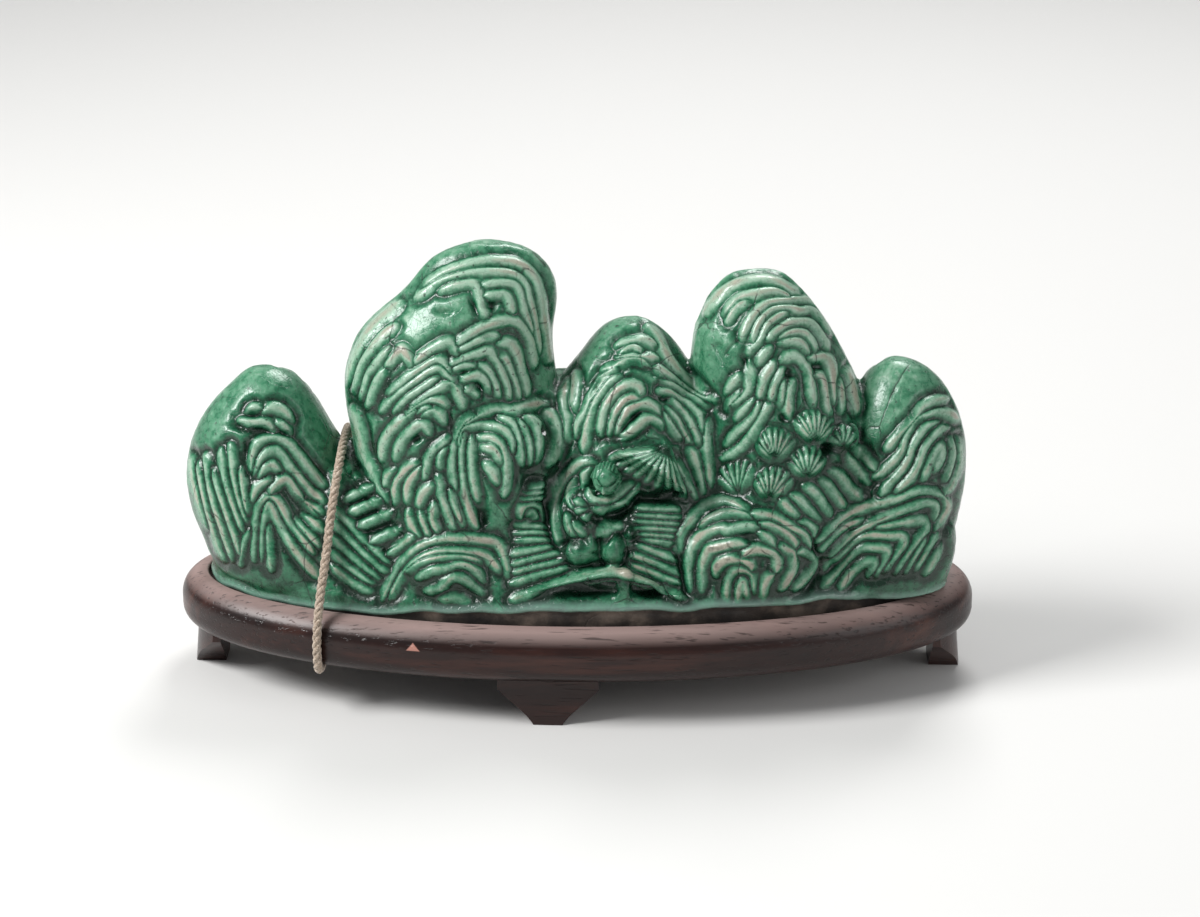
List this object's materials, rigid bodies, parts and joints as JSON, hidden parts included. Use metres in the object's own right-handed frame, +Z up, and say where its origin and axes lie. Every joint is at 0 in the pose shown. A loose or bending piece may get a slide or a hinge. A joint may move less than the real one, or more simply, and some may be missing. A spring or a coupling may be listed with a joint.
{
  "type": "brush rest",
  "caption": "Mountain-shaped brush rest of green glazed pottery with peaks and valleys for brushes, tied with twine to an oval wooden stand on bracket feet.",
  "frame": {"origin": "centre of the object's footprint, at the level of the foot soles", "axes": "+X along the row of peaks to the viewer's right, +Y from the carved front to the back, +Z up"},
  "size_m": [0.17, 0.072, 0.094],
  "materials": {
    "green_glaze": "glossy green lead glaze, pooled dark in the grooves and thin on the ridges, over grey-brown biscuit",
    "rosewood": "open-pored reddish brown rosewood, lightly waxed and dusty",
    "twine": "three-ply cotton twine, undyed and slightly fuzzy"
  },
  "bodies": {
    "stand": {"stand_board": "rosewood", "foot_front": "rosewood", "foot_back": "rosewood", "foot_left": "rosewood", "foot_right": "rosewood", "tie_string": "twine", "tie_knot": "twine"},
    "rest": {"rest_body": "green_glaze"}
  },
  "joints": [
    {"name": "rest_lift", "type": "slide", "parent": "stand", "child": "rest", "axis": [0, 0, 1], "range_m": [0, 0.06], "deforming": ["tie_string"]}
  ]
}
